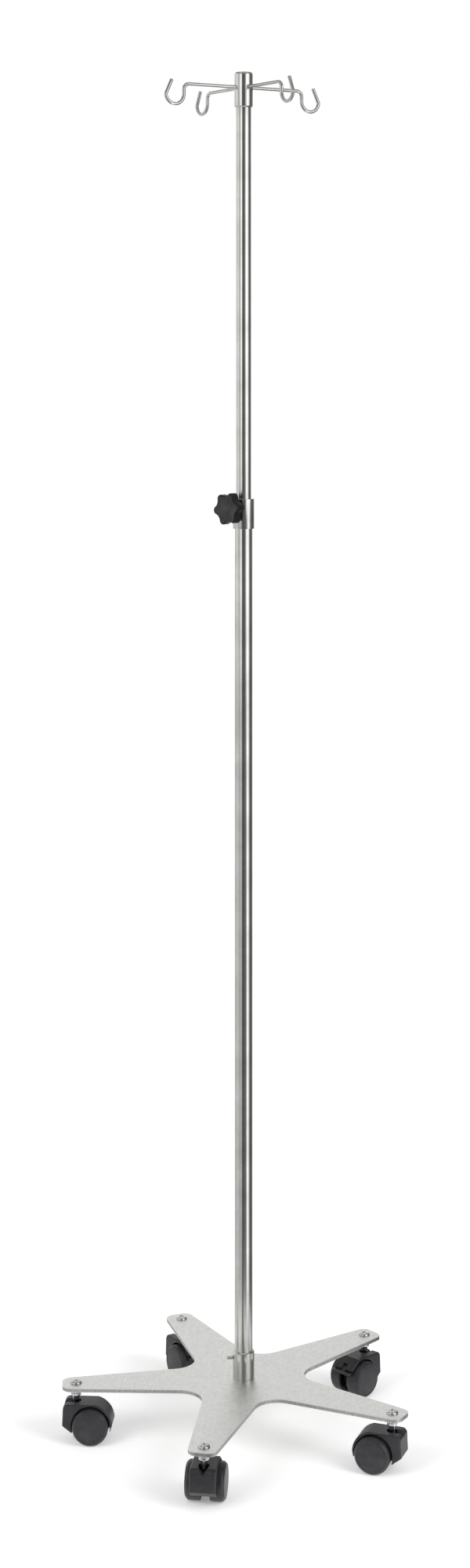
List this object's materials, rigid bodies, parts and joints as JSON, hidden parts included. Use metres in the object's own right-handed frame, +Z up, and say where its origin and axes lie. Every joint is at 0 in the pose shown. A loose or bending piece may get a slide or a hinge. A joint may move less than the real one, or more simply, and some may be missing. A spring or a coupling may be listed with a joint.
{
  "type": "infusion pole",
  "caption": "Telescopic stainless infusion pole with wire hooks, a star-knob clamp and a flat star-shaped base on twin-wheel castors.",
  "frame": {"origin": "on the floor under the pole's axis", "axes": "+Z up along the pole; the front arm of the base points along -Y"},
  "size_m": [0.4858, 0.4651, 1.8998],
  "materials": {
    "brushed_plate": "brushed",
    "polished_tube": "ground and polished",
    "polished_steel": "turned",
    "bright_wire": "polished",
    "stainless_fastener": "bright",
    "zinc_steel": "zinc plated",
    "black_nylon": "moulded, fine texture",
    "black_wheel": "moulded",
    "black_knob": "moulded",
    "natural_nylon": "moulded"
  },
  "bodies": {
    "base": {"base_plate": "brushed_plate", "pole_socket": "polished_steel", "socket_set_screw": "stainless_fastener", "base_washer": "stainless_fastener", "base_bolt": "stainless_fastener", "castor_screws": "stainless_fastener", "lower_tube": "polished_tube", "clamp_collar": "polished_steel", "castor_front_stem": "zinc_steel", "castor_right_stem": "zinc_steel", "castor_back_right_stem": "zinc_steel", "castor_back_left_stem": "zinc_steel", "castor_left_stem": "zinc_steel"},
    "clamp_pad": {"pressure_pad": "natural_nylon"},
    "clamp_knob": {"knob_stud": "stainless_fastener", "star_knob": "black_knob"},
    "foot_slider": {"foot_guide": "natural_nylon"},
    "mast": {"upper_tube": "polished_tube", "hook_hub": "polished_steel", "hook_1": "bright_wire", "hook_2": "bright_wire", "hook_3": "bright_wire", "hook_4": "bright_wire"},
    "castor_front": {"castor_front_body": "black_nylon", "castor_front_axle": "zinc_steel"},
    "castor_front_wheel_left": {"castor_front_wheel_left": "black_wheel"},
    "castor_front_wheel_right": {"castor_front_wheel_right": "black_wheel"},
    "castor_right": {"castor_right_body": "black_nylon", "castor_right_axle": "zinc_steel"},
    "castor_right_wheel_left": {"castor_right_wheel_left": "black_wheel"},
    "castor_right_wheel_right": {"castor_right_wheel_right": "black_wheel"},
    "castor_back_right": {"castor_back_right_body": "black_nylon", "castor_back_right_axle": "zinc_steel", "castor_back_right_brake_pin": "zinc_steel"},
    "castor_back_right_wheel_left": {"castor_back_right_wheel_left": "black_wheel"},
    "castor_back_right_wheel_right": {"castor_back_right_wheel_right": "black_wheel"},
    "castor_back_right_brake": {"castor_back_right_brake_pedal": "black_nylon"},
    "castor_back_left": {"castor_back_left_body": "black_nylon", "castor_back_left_axle": "zinc_steel", "castor_back_left_brake_pin": "zinc_steel"},
    "castor_back_left_wheel_left": {"castor_back_left_wheel_left": "black_wheel"},
    "castor_back_left_wheel_right": {"castor_back_left_wheel_right": "black_wheel"},
    "castor_back_left_brake": {"castor_back_left_brake_pedal": "black_nylon"},
    "castor_left": {"castor_left_body": "black_nylon", "castor_left_axle": "zinc_steel"},
    "castor_left_wheel_left": {"castor_left_wheel_left": "black_wheel"},
    "castor_left_wheel_right": {"castor_left_wheel_right": "black_wheel"}
  },
  "joints": [
    {"name": "mast_slide", "type": "slide", "parent": "base", "child": "foot_slider", "axis": [0, 0, 1], "range_m": [-0.54, 0.25]},
    {"name": "mast_swivel", "type": "hinge", "parent": "foot_slider", "child": "mast", "pos_m": [0, 0, 0.8983], "axis": [0, 0, 1], "continuous": true},
    {"name": "clamp_feed", "type": "slide", "parent": "base", "child": "clamp_pad", "axis": [-0.4226, -0.9063, 0], "range_m": [0, 0.00125]},
    {"name": "knob_turn", "type": "hinge", "parent": "clamp_pad", "child": "clamp_knob", "pos_m": [-0.00676, -0.0145, 1.2916], "axis": [-0.4226, -0.9063, 0], "range_deg": [0, 360]},
    {"name": "castor_front_swivel", "type": "hinge", "parent": "base", "child": "castor_front", "pos_m": [0, -0.2335, 0.073], "axis": [0, 0, 1], "continuous": true},
    {"name": "castor_front_spin_left", "type": "hinge", "parent": "castor_front", "child": "castor_front_wheel_left", "pos_m": [-0.00192, -0.21158, 0.025], "axis": [-0.9962, -0.0872, 0], "continuous": true},
    {"name": "castor_front_spin_right", "type": "hinge", "parent": "castor_front", "child": "castor_front_wheel_right", "pos_m": [-0.00192, -0.21158, 0.025], "axis": [-0.9962, -0.0872, 0], "continuous": true},
    {"name": "castor_right_swivel", "type": "hinge", "parent": "base", "child": "castor_right", "pos_m": [0.22207, -0.07215, 0.073], "axis": [0, 0, 1], "continuous": true},
    {"name": "castor_right_spin_left", "type": "hinge", "parent": "castor_right", "child": "castor_right_wheel_left", "pos_m": [0.20024, -0.06947, 0.025], "axis": [-0.1219, -0.9925, 0], "continuous": true},
    {"name": "castor_right_spin_right", "type": "hinge", "parent": "castor_right", "child": "castor_right_wheel_right", "pos_m": [0.20024, -0.06947, 0.025], "axis": [-0.1219, -0.9925, 0], "continuous": true},
    {"name": "castor_back_right_swivel", "type": "hinge", "parent": "base", "child": "castor_back_right", "pos_m": [0.13725, 0.1889, 0.073], "axis": [0, 0, 1], "continuous": true},
    {"name": "castor_back_right_spin_left", "type": "hinge", "parent": "castor_back_right", "child": "castor_back_right_wheel_left", "pos_m": [0.12592, 0.17005, 0.025], "axis": [0.8572, -0.515, 0], "continuous": true},
    {"name": "castor_back_right_spin_right", "type": "hinge", "parent": "castor_back_right", "child": "castor_back_right_wheel_right", "pos_m": [0.12592, 0.17005, 0.025], "axis": [0.8572, -0.515, 0], "continuous": true},
    {"name": "castor_back_right_brake_press", "type": "hinge", "parent": "castor_back_right", "child": "castor_back_right_brake", "pos_m": [0.11974, 0.15976, 0.04299], "axis": [0.8572, -0.515, 0], "range_deg": [0, 8]},
    {"name": "castor_back_left_swivel", "type": "hinge", "parent": "base", "child": "castor_back_left", "pos_m": [-0.13725, 0.1889, 0.073], "axis": [0, 0, 1], "continuous": true},
    {"name": "castor_back_left_spin_left", "type": "hinge", "parent": "castor_back_left", "child": "castor_back_left_wheel_left", "pos_m": [-0.12142, 0.17362, 0.025], "axis": [0.6947, 0.7193, 0], "continuous": true},
    {"name": "castor_back_left_spin_right", "type": "hinge", "parent": "castor_back_left", "child": "castor_back_left_wheel_right", "pos_m": [-0.12142, 0.17362, 0.025], "axis": [0.6947, 0.7193, 0], "continuous": true},
    {"name": "castor_back_left_brake_press", "type": "hinge", "parent": "castor_back_left", "child": "castor_back_left_brake", "pos_m": [-0.11279, 0.16529, 0.04299], "axis": [0.6947, 0.7193, 0], "range_deg": [0, 8]},
    {"name": "castor_left_swivel", "type": "hinge", "parent": "base", "child": "castor_left", "pos_m": [-0.22207, -0.07215, 0.073], "axis": [0, 0, 1], "continuous": true},
    {"name": "castor_left_spin_left", "type": "hinge", "parent": "castor_left", "child": "castor_left_wheel_left", "pos_m": [-0.20034, -0.06871, 0.025], "axis": [-0.1564, 0.9877, 0], "continuous": true},
    {"name": "castor_left_spin_right", "type": "hinge", "parent": "castor_left", "child": "castor_left_wheel_right", "pos_m": [-0.20034, -0.06871, 0.025], "axis": [-0.1564, 0.9877, 0], "continuous": true}
  ],
  "couplings": [
    {"joint": "clamp_feed", "follows": "knob_turn", "m_per_rad": 0.00019894}
  ]
}
